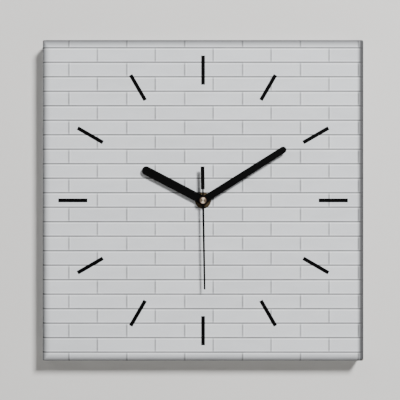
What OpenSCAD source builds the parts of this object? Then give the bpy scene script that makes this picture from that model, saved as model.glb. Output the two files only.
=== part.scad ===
// Square canvas wall clock with a battery quartz movement.
//
// +Z is up, +X is to the right and the face looks along -Y. The origin is the
// centre of the hanger's hole. Every piece is drawn around the hands' axis with
// the wall at y = 0, and hung() shifts it to the origin. Flat outlines are drawn
// as seen from the front.

/* [Face] */
// Width and height of the square face
face_w = 300; // [200:1:600]
// Depth from the wall to the face
body_d = 22; // [22:0.1:40]
// Radius of the rounded edges around the face
edge_r = 5; // [2:0.5:7]
// Radius of the four corners, seen from the front
corner_r = 2.5; // [1:0.25:6]
// Thickness of the printed canvas
canvas_t = 0.5; // [0.3:0.1:0.6]
// Width of the canvas turned over onto the back
turn_over = 25; // [14:1:30]

/* [Stretcher frame] */
// Width of a stretcher bar
bar_w = 32; // [26:1:50]
// Width of a bar's outer bead, which stands around the backing board
bead_w = 8; // [8:0.5:14]
// Thickness of the backing board behind the canvas
board_t = 3; // [2:0.5:4]
// Gap around the backing board
board_gap = 0.25; // [0.1:0.05:0.5]
// Staples along each side
staple_count = 5; // [2:1:9]
// Length of a staple's crown
staple_w = 10; // [6:0.5:12]
// Length of a staple's legs
staple_leg = 6; // [4:0.5:8]
// Thickness of the staple wire
staple_t = 0.5; // [0.4:0.1:0.8]
// Length of each leg of a corner nail
nail_leg = 7; // [5:0.5:9]
// Depth of a corner nail in the wood
nail_d = 10; // [5:0.5:12]
// Thickness of a corner nail
nail_t = 0.8; // [0.5:0.1:1.2]

/* [Hands] */
// Length of the hour hand
hour_len = 63.5; // [20:0.5:120]
// Width of the hour hand
hour_w = 8.1; // [4:0.1:8.6]
// Length of the minute hand
minute_len = 90.6; // [30:0.1:140]
// Width of the minute hand at the axis
minute_w = 6.8; // [4:0.1:8.6]
// Width of the minute hand at its tip
minute_tip_w = 6.1; // [2:0.1:8]
// Thickness of the hour and minute hands
hand_t = 0.5; // [0.3:0.05:0.6]
// Length of the second hand's needle
second_len = 82.4; // [30:0.1:140]
// Width of the needle at the hub
needle_w = 2; // [0.8:0.1:3]
// Width of the needle at its tip
needle_tip_w = 1.6; // [0.6:0.1:3]
// Distance from the axis to the end of the counterweight
tail_len = 31.3; // [15:0.1:60]
// Width of the counterweight
tail_w = 3.5; // [1.5:0.1:6]
// Distance from the axis to the start of the counterweight
tail_start = 10.3; // [6:0.1:14]
// Width of the neck between the hub and the counterweight
neck_w = 1.45; // [0.8:0.05:3]
// Thickness of the second hand
second_t = 0.35; // [0.2:0.05:0.5]
// Radius of the second hand's round hub
hub_r = 4.5; // [4:0.1:8]
// Radius of the turned cap on the hub
cap_r = 3.3; // [2:0.1:3.9]
// Height of the turned cap
cap_h = 1.2; // [0.9:0.1:3]
// Hour hand's angle, clockwise from twelve
hour_angle = -62.4; // [-180:0.1:180]
// Minute hand's angle, clockwise from twelve
minute_angle = 57.75; // [-180:0.05:180]
// Second hand's angle, clockwise from twelve
second_angle = 179; // [-180:0.5:180]

/* [Movement case] */
// Width and height of the case
case_w = 56; // [56:0.1:70]
// Depth of the case
case_d = 15; // [15:0.5:17]
// Thickness of the case's walls
case_t = 1.2; // [0.8:0.1:1.2]
// Thickness of the rear cover
cover_t = 1.6; // [1.2:0.1:1.8]
// Radius of the threaded bushing
bushing_r = 4; // [3.5:0.1:5]
// Width of the nut across its flats
nut_w = 12; // [11:0.5:14]
// Thickness of the nut
nut_t = 2; // [1.5:0.1:2.2]
// Radius of the washer under the nut
washer_r = 7.5; // [6.5:0.25:10]
// Thickness of the washer under the nut
washer_t = 0.5; // [0.3:0.1:0.6]
// Radius of the rubber washer behind the board
rubber_r = 9; // [6:0.5:14]
// Thickness of the rubber washer
rubber_t = 0.8; // [0.5:0.1:1.5]
// Radius of the setting knob
knob_r = 6.5; // [4:0.1:7]
// Thickness of the setting knob
knob_t = 1.7; // [1:0.1:1.9]

/* [Hanger] */
// Radius of the hanger's hole
hanger_hole_r = 4; // [2.5:0.25:5]
// Width of the material around the hole
hanger_rim = 3.5; // [2:0.5:6]
// Thickness of the hanger
hanger_t = 2; // [1.5:0.25:3]
// Distance from the top of the case to the centre of the hole
hanger_rise = 6.5; // [6:0.5:14]

/* [Battery] */
// Diameter of the battery
battery_d = 14.3; // [13.5:0.1:14.5]
// Length of the battery over its terminal
battery_len = 50.5; // [49:0.1:50.5]
// Radius of the positive terminal
terminal_r = 2.75; // [2:0.25:3.5]
// Height of the positive terminal
terminal_h = 1; // [0.5:0.1:1.5]

/* [Gear train] */
// Distance from the hands' axis to the third wheel's axis
train_a = 8.5; // [8:0.05:10.2]
// Distance from the hands' axis to the intermediate wheel's axis
inter_a = 6.72; // [6.5:0.01:6.9]
// Distance from the intermediate wheel's axis to the rotor's axis
rotor_a = 6.16; // [6:0.01:6.4]
// Distance from the hands' axis to the minute wheel's axis
motion_a = 7.2; // [7:0.05:7.4]
// Distance from the minute wheel's axis to the setting pinion's axis
setting_a = 8.1; // [7.8:0.05:8.4]
// Thickness of a train wheel
wheel_t = 0.8; // [0.5:0.05:0.85]
// Thickness of a wheel in the motion work
motion_t = 1; // [0.6:0.05:1.05]
// Gap between neighbouring layers
layer_gap = 0.4; // [0.3:0.02:0.42]
// Thickness of the gear bridge
bridge_t = 0.9; // [0.6:0.1:1]
// Radius of a wheel's arbor
arbor_r = 0.4; // [0.3:0.05:0.6]

/* [Hidden] */
$fn = 64;

// Clearances: a turning pivot, a tube in a tube, and a loose hole.
pivot_gap = 0.05;
tube_gap = 0.08;
hole_gap = 0.2;

// Radii of the four concentric shafts and tubes.
second_r = 0.5;
minute_bore_r = second_r + tube_gap;
minute_r = 1.75;
hour_bore_r = minute_r + tube_gap;
hour_r = 2.55;
bushing_bore_r = hour_r + tube_gap;
minute_thread_r = 1.4;
minute_seat_r = 1.35;
cap_stem_r = 0.9;
setting_shaft_r = 1.2;

// Depths between the wall and the face.
face_y = -body_d;
wood_y = face_y + canvas_t;
board_back_y = wood_y + board_t;
case_y = board_back_y + rubber_t;
case_back_y = case_y + case_d;
cover_y = case_back_y - cover_t;

// Depths in front of the face: the nut, then the hands.
bushing_proud = 0.5;
hand_gap = 1;
minute_nut_t = 1;
minute_nut_r = 3;
cap_stem_h = 0.5;
nut_y = face_y - washer_t;
bushing_y = nut_y - nut_t - bushing_proud;
hour_hand_y = bushing_y - hole_gap;
minute_hand_y = hour_hand_y - hand_t - hand_gap;
minute_nut_y = minute_hand_y - hand_t;
cap_stem_y = minute_nut_y - minute_nut_t - hole_gap;
second_hand_y = cap_stem_y - cap_stem_h;
cap_y = second_hand_y - second_t;
// Depth of the second shaft's end inside the cap
second_in_cap = 0.3;

// Layers inside the case, from the front to the back.
hour_layer = case_y + case_t + layer_gap;
motion_layer = hour_layer + motion_t + layer_gap;
centre_layer = motion_layer + motion_t + layer_gap;
bridge_layer = centre_layer + wheel_t + 2 * layer_gap;
third_layer = bridge_layer + bridge_t + layer_gap;
second_layer = third_layer + wheel_t + layer_gap;
inter_layer = second_layer + wheel_t + layer_gap;
core_layer = inter_layer;
core_t = 1.1;
stator_layer = core_layer + core_t;
stator_t = 0.8;
magnet_r = 2.6;
magnet_t = 1.6;
magnet_gap = 0.4;
clutch_r = 3;
clutch_t = 0.3;
// A pinion is this much longer than its wheel at each end
pinion_over = 0.1;
// Depth of a pivot's blind hole in the front wall or the rear cover
pivot_d = 0.7;
front_pivot_y = case_y + case_t - pivot_d + pivot_gap;
rear_pivot_y = cover_y + pivot_d - pivot_gap;
magnet_y = inter_layer + wheel_t + pinion_over;

// Teeth. Second to third to centre gives 1:60, and cannon to minute to hour 1:12.
pinion_n = 8;
rotor_pinion_n = 8;
inter_n = 48;
second_n = 40;
third_n = 60;
centre_n = 64;
cannon_n = 12;
minute_n = 36;
minute_pinion_n = 10;
hour_n = 40;
setting_n = 18;
backlash = 0.1;
addendum = 0.75;
dedendum = 1.3;

// Directions between the axes, anticlockwise from +X as seen from the front.
third_dir = 20;
inter_dir = 115;
rotor_dir = 95;
minute_dir = 200;
setting_dir = 165;

function polar(r, angle) = r * [cos(angle), sin(angle)];
centre_axis = [0, 0];
third_axis = polar(train_a, third_dir);
inter_axis = polar(inter_a, inter_dir);
rotor_axis = inter_axis + polar(rotor_a, rotor_dir);
minute_axis = polar(motion_a, minute_dir);
setting_axis = minute_axis + polar(setting_a, setting_dir);

// Module of a gear pair, from its centre distance and teeth
function pair_module(a, n1, n2) = 2 * a / (n1 + n2);
third_m = pair_module(train_a, pinion_n, third_n);
centre_m = pair_module(train_a, pinion_n, centre_n);
inter_m = pair_module(inter_a, second_n, pinion_n);
rotor_m = pair_module(rotor_a, inter_n, rotor_pinion_n);
cannon_m = pair_module(motion_a, cannon_n, minute_n);
hour_m = pair_module(motion_a, minute_pinion_n, hour_n);
setting_m = pair_module(setting_a, minute_n, setting_n);

// Phase of the second gear that puts its gap around a tooth of the first
function meshed(phase, n1, n2, towards) =
  towards + 180 + 180 / n2 - (phase - towards) * n1 / n2;

// The case around the battery and the works.
case_half = case_w / 2;
case_inner = case_half - case_t;
battery_r = battery_d / 2;
battery_z = -case_inner + hole_gap + battery_r;
divider_z = battery_z + battery_r + hole_gap;
divider_t = 1;
battery_y = case_y + case_t + hole_gap + battery_r;
contact_gap = (2 * case_inner - battery_len) / 2;
contact_t = 0.3;
contact_w = 8;
contact_d = 10;

// The coil across the top of the case, with the stator between its core's ends.
coil_inset = 5.3;
coil_z = case_inner - coil_inset;
coil_y = core_layer + core_t / 2;
coil_len = 20;
flange_t = 0.6;
flange_r = 2.9;
winding_r = 2.7;
spool_r = 1.3;
core_w = 1.4;
core_len = 34;
core_end_w = 4.5;

// The circuit board beside the train, on two pegs.
circuit_x = core_len / 2 + 0.5;
circuit_w = case_inner - circuit_x - hole_gap;
circuit_z = divider_z + divider_t + 1;
circuit_h = 27;
circuit_lift = 0.5;
circuit_y = second_layer + circuit_lift;
circuit_t = 1;
peg_x = circuit_x + circuit_w / 2;
peg_inset = 3;
peg_zs = [circuit_z + peg_inset, circuit_z + circuit_h - peg_inset];
peg_r = 1.5;
peg_tip_r = 0.6;
peg_proud = 0.5;
chip_r = 3;
chip_t = 1;
crystal_r = 1;
crystal_len = 6;

// The bridge's four posts stand clear of the wheels.
post_r = 1.6;
posts = [[-11.5, -8.6], [12, -8], [13.5, 12], [-13.5, 9]];

// The hanger on top of the case.
hanger_y = case_back_y - hanger_t / 2;
hanger_z = case_half + hanger_rise;
hanger_w = 2 * (hanger_hole_r + hanger_rim);
hanger_foot_w = hanger_w + 6;
hanger_foot_t = 1.5;
hanger_peg_r = 0.9;
hanger_peg_x = hanger_foot_w / 2 - 2.5;
hanger_peg_y = cover_y - 1.6;

// Colours.
wood = "burlywood";
plastic = [0.12, 0.12, 0.13];
brass = [0.80, 0.66, 0.38];
steel = [0.70, 0.71, 0.73];
nylon = [0.92, 0.91, 0.86];
hand_black = [0.06, 0.06, 0.06];

module hung() {
  translate([0, -hanger_y, -hanger_z]) children();
}

// A flat plate from depth y0 back to depth y1, with an outline seen from the front.
module plate(y0, y1) {
  translate([0, y1, 0]) rotate([90, 0, 0]) linear_extrude(y1 - y0) children();
}

// A round rod along the depth.
module rod(at, r, y0, y1) {
  translate([at.x, y1, at.y]) rotate([90, 0, 0]) cylinder(r = r, h = y1 - y0);
}

// A hole along the depth, which runs a little past both ends.
module hole(at, r, y0, y1) {
  rod(at, r, y0 - 0.01, y1 + 0.01);
}

// A ring around an axis along the depth.
module ring(at, r, bore_r, y0, y1) {
  difference() {
    rod(at, r, y0, y1);
    hole(at, bore_r, y0, y1);
  }
}

module box(x, y, z) {
  translate([x[0], y[0], z[0]]) cube([x[1] - x[0], y[1] - y[0], z[1] - z[0]]);
}

// ---- Stretcher frame and canvas ----

module rounded_square(w, r) {
  square([w, w - 2 * r], center = true);
  square([w - 2 * r, w], center = true);
  for (x = [-1, 1], y = [-1, 1]) translate([x, y] * (w / 2 - r)) circle(r);
}

// Section through the block: depth along X, with its two front corners rounded.
module edge_section(w, y0, y1, r) {
  translate([y0 + r, -w / 2]) square([y1 - y0 - r, w]);
  translate([y0, r - w / 2]) square([y1 - y0, w - 2 * r]);
  for (side = [-1, 1]) translate([y0 + r, side * (w / 2 - r)]) circle(r);
}

// A square block with rounded front edges and corners.
module block(w, y0, y1, front_r, plan_r) {
  intersection() {
    plate(y0, y1) rounded_square(w, plan_r);
    rotate([90, 0, 90])
      linear_extrude(w + 2, center = true) edge_section(w, y0, y1, front_r);
    linear_extrude(w + 2, center = true)
      rotate(-90) mirror([1, 0]) edge_section(w, y0, y1, front_r);
  }
}

wood_w = face_w - 2 * canvas_t;
board_w = wood_w - 2 * bead_w;

module stretcher() {
  difference() {
    block(wood_w, wood_y, -canvas_t, edge_r - canvas_t, corner_r - canvas_t);
    plate(wood_y - 1, 1) square(wood_w - 2 * bar_w, center = true);
    plate(wood_y - 1, board_back_y) square(board_w, center = true);
  }
}

// One side of the stretcher, cut at 45 degrees. 0 is the top, 90 the left.
module bar(turn) {
  half = wood_w / 2 + 1;
  color(wood) hung() intersection() {
    stretcher();
    plate(wood_y - 1, 1) rotate(turn) polygon([[0, 0], [half, half], [-half, half]]);
  }
}

module frame_bar_top() { bar(0); }
module frame_bar_left() { bar(90); }
module frame_bar_bottom() { bar(180); }
module frame_bar_right() { bar(270); }

// Two V-shaped nails across each mitre, driven in from the back.
module corner_nails() {
  color(steel) hung() for (turn = [0 : 90 : 270], in = [1 / 4, 5 / 8])
    plate(-canvas_t - nail_d, -canvas_t) rotate(turn)
      translate([1, 1] * (wood_w / 2 - bar_w * in)) rotate(45) corner_nail();
}

module corner_nail() {
  reach = nail_leg / sqrt(2);
  half_t = nail_t / sqrt(2);
  polygon([
    [0, half_t], [-reach, reach + half_t], [-reach, reach - half_t],
    [-2 * half_t, 0], [-reach, half_t - reach], [-reach, -half_t - reach], [0, -half_t]
  ]);
}

module staple() {
  box([-staple_w / 2, staple_w / 2], [-staple_t, 0], [-staple_t / 2, staple_t / 2]);
  for (side = [-1, 1])
    translate([side * (staple_w - staple_t) / 2, 0, 0])
      box([-staple_t / 2, staple_t / 2], [-staple_leg, 0], [-staple_t / 2, staple_t / 2]);
}

module staples() {
  pitch = (face_w - 2 * turn_over) / staple_count;
  color(steel) hung() for (turn = [0 : 90 : 270], i = [0 : staple_count - 1])
    rotate([0, turn, 0])
      translate([(i - (staple_count - 1) / 2) * pitch, 0, face_w / 2 - turn_over / 2])
        staple();
}

module backing_board() {
  color("sienna") hung() difference() {
    plate(wood_y, board_back_y) square(board_w - 2 * board_gap, center = true);
    hole(centre_axis, bushing_r + hole_gap, wood_y, board_back_y);
  }
}

// The canvas wraps the frame and turns over onto its back.
module canvas() {
  color("lightgray") hung() difference() {
    block(face_w, face_y, 0, edge_r, corner_r);
    block(wood_w, wood_y, -canvas_t, edge_r - canvas_t, corner_r - canvas_t);
    plate(-2 * canvas_t, 1) square(face_w - 2 * turn_over, center = true);
    hole(centre_axis, bushing_r + hole_gap, face_y, wood_y);
  }
}

// ---- Movement case ----

module front_case() {
  color(plastic) hung() difference() {
    union() {
      difference() {
        plate(case_y, cover_y) square(case_w, center = true);
        plate(case_y + case_t, cover_y + 1) square(2 * case_inner, center = true);
      }
      box([-case_inner, case_inner], [case_y + case_t, cover_y],
        [divider_z, divider_z + divider_t]);
      for (at = posts) rod(at, post_r, case_y, bridge_layer);
      for (z = peg_zs) {
        rod([peg_x, z], peg_r, case_y, circuit_y);
        rod([peg_x, z], peg_tip_r, case_y, circuit_y + circuit_t + peg_proud);
      }
      rod(minute_axis, arbor_r * 2, case_y, motion_layer + motion_t);
    }
    hole(centre_axis, bushing_r, case_y, case_y + case_t);
    for (at = [third_axis, setting_axis])
      hole(at, arbor_r + pivot_gap, case_y + case_t - pivot_d, case_y + case_t);
    for (side = [-1, 1])
      translate([side * hanger_peg_x, hanger_peg_y, case_inner - 1])
        cylinder(r = hanger_peg_r, h = case_t + 2);
  }
}

// The cover closes the works and leaves the battery's bay open.
module rear_cover() {
  blind_y = cover_y + pivot_d;
  color(plastic) hung() difference() {
    box([-case_half, case_half], [cover_y, case_back_y], [divider_z, case_half]);
    for (at = [centre_axis, third_axis, inter_axis, rotor_axis])
      rod(at, arbor_r + pivot_gap, cover_y - 1, blind_y);
    hole(setting_axis, setting_shaft_r + pivot_gap, cover_y, case_back_y);
  }
}

module hanger_loop() {
  y0 = case_back_y - hanger_t;
  color(plastic) hung() {
    difference() {
      plate(y0, case_back_y) {
        intersection() {
          translate([0, hanger_z]) circle(hanger_w / 2);
          translate([-hanger_w / 2, case_half]) square(hanger_w + hanger_rise);
        }
        translate([-hanger_w / 2, case_half]) square([hanger_w, hanger_rise]);
      }
      hole([0, hanger_z], hanger_hole_r, y0, case_back_y);
    }
    box([-hanger_foot_w / 2, hanger_foot_w / 2],
      [hanger_peg_y - hanger_foot_t, case_back_y], [case_half, case_half + hanger_foot_t]);
    for (side = [-1, 1])
      translate([side * hanger_peg_x, hanger_peg_y, case_inner])
        cylinder(r = hanger_peg_r, h = case_t + hanger_foot_t / 2);
  }
}

module gear_bridge() {
  pad_r = 2.2;
  tongue = 6;
  foot_r = post_r + 0.6;
  color(nylon) hung() difference() {
    plate(bridge_layer, bridge_layer + bridge_t) {
      polygon(posts);
      for (at = posts) translate(at) circle(foot_r);
      translate(rotor_axis) circle(pad_r);
      translate(rotor_axis - [pad_r, tongue]) square([2 * pad_r, tongue]);
    }
    for (at = [third_axis, inter_axis, rotor_axis])
      hole(at, arbor_r + pivot_gap, bridge_layer, bridge_layer + bridge_t);
    hole(centre_axis, second_r + tube_gap, bridge_layer, bridge_layer + bridge_t);
  }
}

module threaded_bushing() {
  color(brass) hung() ring(centre_axis, bushing_r, bushing_bore_r, bushing_y, case_y + case_t);
}

module rubber_washer() {
  color("dimgray") hung()
    ring(centre_axis, rubber_r, bushing_r + hole_gap, board_back_y, case_y);
}

module brass_washer() {
  color(brass) hung()
    ring(centre_axis, washer_r, bushing_r + hole_gap, nut_y, face_y);
}

module hex_nut() {
  color(brass) hung() difference() {
    plate(nut_y - nut_t, nut_y) circle(nut_w / sqrt(3), $fn = 6);
    hole(centre_axis, bushing_r, nut_y - nut_t, nut_y);
  }
}

// ---- Battery and contacts ----

module battery() {
  color("darkgoldenrod") hung() translate([-battery_len / 2, battery_y, battery_z])
    rotate([0, 90, 0]) {
      cylinder(r = battery_r, h = battery_len - terminal_h);
      cylinder(r = terminal_r, h = battery_len);
    }
}

// A leaf folded once: one side on the case's wall and the other on the battery.
module contact(side) {
  x = side * (case_inner - contact_gap / 2);
  color(steel) hung() translate([x, battery_y, battery_z - contact_w / 2])
    linear_extrude(contact_w) difference() {
      square([contact_gap, contact_d], center = true);
      translate([0, contact_t]) square([contact_gap - 2 * contact_t, contact_d], center = true);
    }
}

module contact_positive() { contact(1); }
module contact_negative() { contact(-1); }

// ---- Circuit and stepping motor ----

module circuit_board() {
  color("darkgreen") hung() difference() {
    box([circuit_x, circuit_x + circuit_w], [circuit_y, circuit_y + circuit_t],
      [circuit_z, circuit_z + circuit_h]);
    for (z = peg_zs) hole([peg_x, z], peg_tip_r, circuit_y, circuit_y + circuit_t);
  }
}

module quartz_crystal() {
  color(steel) hung()
    translate([peg_x + peg_r, circuit_y + circuit_t + crystal_r, circuit_z + circuit_h / 2 + 1])
      cylinder(r = crystal_r, h = crystal_len);
}

module clock_chip() {
  color(plastic) hung()
    rod([peg_x, circuit_z + circuit_h / 2 - chip_r - 1], chip_r, circuit_y + circuit_t,
      circuit_y + circuit_t + chip_t);
}

module coil_tube(r, bore_r, x0, x1) {
  translate([x0, coil_y, coil_z]) rotate([0, 90, 0]) difference() {
    cylinder(r = r, h = x1 - x0);
    translate([0, 0, -1]) cylinder(r = bore_r, h = x1 - x0 + 2);
  }
}

module coil_bobbin() {
  half = coil_len / 2;
  bore = norm([core_w, core_t]) / 2;
  color(nylon) hung() {
    coil_tube(spool_r, bore, -half, half);
    coil_tube(flange_r, bore, -half - flange_t, -half);
    coil_tube(flange_r, bore, half, half + flange_t);
  }
}

module coil_winding() {
  color("chocolate") hung() coil_tube(winding_r, spool_r, -coil_len / 2, coil_len / 2);
}

module coil_core() {
  color(steel) hung() plate(core_layer, core_layer + core_t) {
    translate([0, coil_z]) square([core_len, core_w], center = true);
    for (side = [-1, 1])
      translate([side * (core_len - core_end_w) / 2, coil_z])
        square(core_end_w, center = true);
  }
}

// The stator's arms reach up to the core's ends, and its bridge holds the rotor.
module stator() {
  rotor_land = 3.8;
  low_z = rotor_axis.y - rotor_land;
  high_z = rotor_axis.y + rotor_land;
  arm_z = coil_z + core_end_w / 2;
  color(steel) hung() difference() {
    plate(stator_layer, stator_layer + stator_t) {
      translate([-core_len / 2, low_z]) square([core_len, high_z - low_z]);
      for (side = [-1, 1])
        translate([side * (core_len - core_end_w) / 2, (low_z + arm_z) / 2])
          square([core_end_w, arm_z - low_z], center = true);
    }
    hole(rotor_axis, magnet_r + magnet_gap, stator_layer, stator_layer + stator_t);
  }
}

// ---- Gears ----

// A spur gear's outline. Pinions have slimmer roots than wheels.
module gear_outline(n, m, phase) {
  half_w = m * PI / 4 * (1 - backlash);
  small = n < 20;
  root = [m * (n / 2 - dedendum), half_w * (small ? 0.95 : 1.35)];
  tip = [m * (n / 2 + addendum), half_w * (small ? 0.5 : 0.4)];
  corners = [[root[0], -root[1]], [tip[0], -tip[1]], tip, root];
  polygon([for (i = [0 : n - 1], c = corners)
    polar(c[0], phase + 360 * i / n + c[1] / c[0] * 180 / PI)]);
}

module gear(at, n, m, phase, y0, t) {
  plate(y0, y0 + t) translate(at) gear_outline(n, m, phase);
}

// A pinion that runs past both faces of the wheel that it drives.
module pinion(at, n, m, phase, y0, t) {
  gear(at, n, m, phase, y0 - pinion_over, t + 2 * pinion_over);
}

module rotor_magnet() {
  color([0.25, 0.25, 0.27]) hung()
    ring(rotor_axis, magnet_r, arbor_r, magnet_y, magnet_y + magnet_t);
}

module rotor_pinion() {
  color(nylon) hung() {
    rod(rotor_axis, arbor_r, bridge_layer, rear_pivot_y);
    pinion(rotor_axis, rotor_pinion_n, rotor_m, meshed(0, inter_n, rotor_pinion_n, rotor_dir),
      inter_layer, wheel_t);
  }
}

module intermediate_wheel() {
  phase = meshed(0, second_n, pinion_n, inter_dir);
  color(nylon) hung() {
    rod(inter_axis, arbor_r, bridge_layer, rear_pivot_y);
    gear(inter_axis, inter_n, rotor_m, 0, inter_layer, wheel_t);
    plate(second_layer - pinion_over, inter_layer) translate(inter_axis)
      gear_outline(pinion_n, inter_m, phase);
  }
}

// The second wheel, its pinion and the long shaft that carries the second hand.
module second_wheel() {
  color(nylon) hung() {
    rod(centre_axis, second_r, cap_y - second_in_cap, second_layer);
    rod(centre_axis, arbor_r, second_layer, rear_pivot_y);
    gear(centre_axis, second_n, inter_m, 0, second_layer, wheel_t);
    plate(third_layer - pinion_over, second_layer) gear_outline(pinion_n, third_m, 0);
  }
}

module third_wheel() {
  color(nylon) hung() {
    rod(third_axis, arbor_r, front_pivot_y, rear_pivot_y);
    gear(third_axis, third_n, third_m, meshed(0, pinion_n, third_n, third_dir),
      third_layer, wheel_t);
    plate(centre_layer - pinion_over, bridge_layer - pivot_gap) translate(third_axis)
      gear_outline(pinion_n, centre_m, 0);
  }
}

module centre_wheel() {
  color(nylon) hung() difference() {
    gear(centre_axis, centre_n, centre_m, meshed(0, pinion_n, centre_n, third_dir + 180),
      centre_layer, wheel_t);
    hole(centre_axis, minute_seat_r, centre_layer, centre_layer + wheel_t);
  }
}

// A sprung washer that presses the centre wheel against the arbor's cannon pinion.
module clutch_washer() {
  y0 = centre_layer + wheel_t;
  color(steel) hung() ring(centre_axis, clutch_r, minute_seat_r, y0, y0 + clutch_t);
}

// A tube with a shoulder for the minute hand, the cannon pinion and a seat behind it
// for the centre wheel. The seat is slimmer than the pinion's roots.
module minute_arbor() {
  color(brass) hung() difference() {
    union() {
      rod(centre_axis, minute_thread_r, minute_nut_y - minute_nut_t, minute_hand_y);
      rod(centre_axis, minute_r, minute_hand_y, motion_layer);
      rod(centre_axis, minute_seat_r, motion_layer, centre_layer + wheel_t + layer_gap);
      gear(centre_axis, cannon_n, cannon_m, 0, motion_layer, motion_t + layer_gap);
    }
    hole(centre_axis, minute_bore_r, minute_nut_y - minute_nut_t, bridge_layer);
  }
}

module minute_wheel() {
  color(nylon) hung() difference() {
    union() {
      gear(minute_axis, minute_n, cannon_m, meshed(0, cannon_n, minute_n, minute_dir),
        motion_layer, motion_t);
      plate(hour_layer - pinion_over, motion_layer) translate(minute_axis)
        gear_outline(minute_pinion_n, hour_m, 0);
    }
    hole(minute_axis, arbor_r * 2 + pivot_gap, hour_layer - pinion_over,
      motion_layer + motion_t);
  }
}

module hour_wheel() {
  color(nylon) hung() difference() {
    union() {
      gear(centre_axis, hour_n, hour_m, meshed(0, minute_pinion_n, hour_n, minute_dir + 180),
        hour_layer, motion_t);
      rod(centre_axis, hour_r, hour_hand_y - hand_t, hour_layer + motion_t);
    }
    hole(centre_axis, hour_bore_r, hour_hand_y - hand_t, hour_layer + motion_t);
  }
}

module setting_pinion() {
  minute_phase = meshed(0, cannon_n, minute_n, minute_dir);
  color(nylon) hung() {
    rod(setting_axis, arbor_r, front_pivot_y, motion_layer);
    gear(setting_axis, setting_n, setting_m, meshed(minute_phase, minute_n, setting_n,
      setting_dir), motion_layer, motion_t);
    rod(setting_axis, setting_shaft_r, motion_layer, case_back_y + knob_t / 2);
  }
}

// The knob is knurled with shallow round notches.
module setting_knob() {
  y0 = case_back_y + hole_gap;
  notches = 24;
  notch_r = 0.55;
  notch_out = 0.25;
  color(plastic) hung() difference() {
    rod(setting_axis, knob_r, y0, y0 + knob_t);
    for (i = [0 : notches - 1])
      hole(setting_axis + polar(knob_r + notch_out, 360 * i / notches), notch_r, y0, y0 + knob_t);
    rod(setting_axis, setting_shaft_r, y0 - 1, case_back_y + knob_t / 2);
  }
}

// ---- Hands ----

// A tapered strip from the axis upwards, with a round tip.
module strip(len, w0, w1) {
  tip_r = w1 / 2;
  polygon([[-w0 / 2, 0], [w0 / 2, 0], [tip_r, len - tip_r], [-tip_r, len - tip_r]]);
  translate([0, len - tip_r]) circle(tip_r);
}

module hour_hand() {
  color(hand_black) hung() difference() {
    plate(hour_hand_y - hand_t, hour_hand_y) rotate(-hour_angle) {
      circle(hub_r - 0.1);
      strip(hour_len, hour_w, hour_w);
    }
    hole(centre_axis, hour_r, hour_hand_y - hand_t, hour_hand_y);
  }
}

module minute_hand() {
  color(hand_black) hung() difference() {
    plate(minute_hand_y - hand_t, minute_hand_y) rotate(-minute_angle) {
      circle(hub_r - 0.1);
      strip(minute_len, minute_w, minute_tip_w);
    }
    hole(centre_axis, minute_thread_r, minute_hand_y - hand_t, minute_hand_y);
  }
}

module minute_nut() {
  color(brass) hung()
    ring(centre_axis, minute_nut_r, minute_thread_r, minute_nut_y - minute_nut_t, minute_nut_y);
}

module second_hand() {
  color(hand_black) hung() difference() {
    plate(second_hand_y - second_t, second_hand_y) rotate(-second_angle) {
      circle(hub_r);
      strip(second_len, needle_w, needle_tip_w);
      translate([-neck_w / 2, -tail_start - 1]) square([neck_w, tail_start + 1]);
      translate([-tail_w / 2, -tail_len]) square([tail_w, tail_len - tail_start]);
    }
    hole(centre_axis, cap_stem_r, second_hand_y - second_t, second_hand_y);
  }
}

// A turned cap with a stem that grips the second shaft.
module second_cap() {
  bevel = 0.3;
  color(brass) hung() difference() {
    translate([0, cap_y, 0]) rotate([90, 0, 0]) rotate_extrude()
      polygon([
        [0, 0], [cap_r, 0], [cap_r, cap_h - bevel], [cap_r - bevel, cap_h], [0, cap_h]
      ]);
    rod(centre_axis, second_r, cap_y - second_in_cap, cap_y + 1);
  }
  color(brass) hung() ring(centre_axis, cap_stem_r, second_r, cap_y, cap_stem_y);
}

frame_bar_top();
frame_bar_bottom();
frame_bar_left();
frame_bar_right();
corner_nails();
staples();
backing_board();
canvas();
front_case();
rear_cover();
hanger_loop();
gear_bridge();
threaded_bushing();
rubber_washer();
brass_washer();
hex_nut();
battery();
contact_positive();
contact_negative();
circuit_board();
quartz_crystal();
clock_chip();
coil_bobbin();
coil_winding();
coil_core();
stator();
rotor_magnet();
rotor_pinion();
intermediate_wheel();
second_wheel();
third_wheel();
centre_wheel();
clutch_washer();
minute_arbor();
minute_wheel();
hour_wheel();
setting_pinion();
setting_knob();
hour_hand();
minute_hand();
minute_nut();
second_hand();
second_cap();
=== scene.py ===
import math

import bmesh
import bpy
from mathutils import Matrix, Vector


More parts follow.
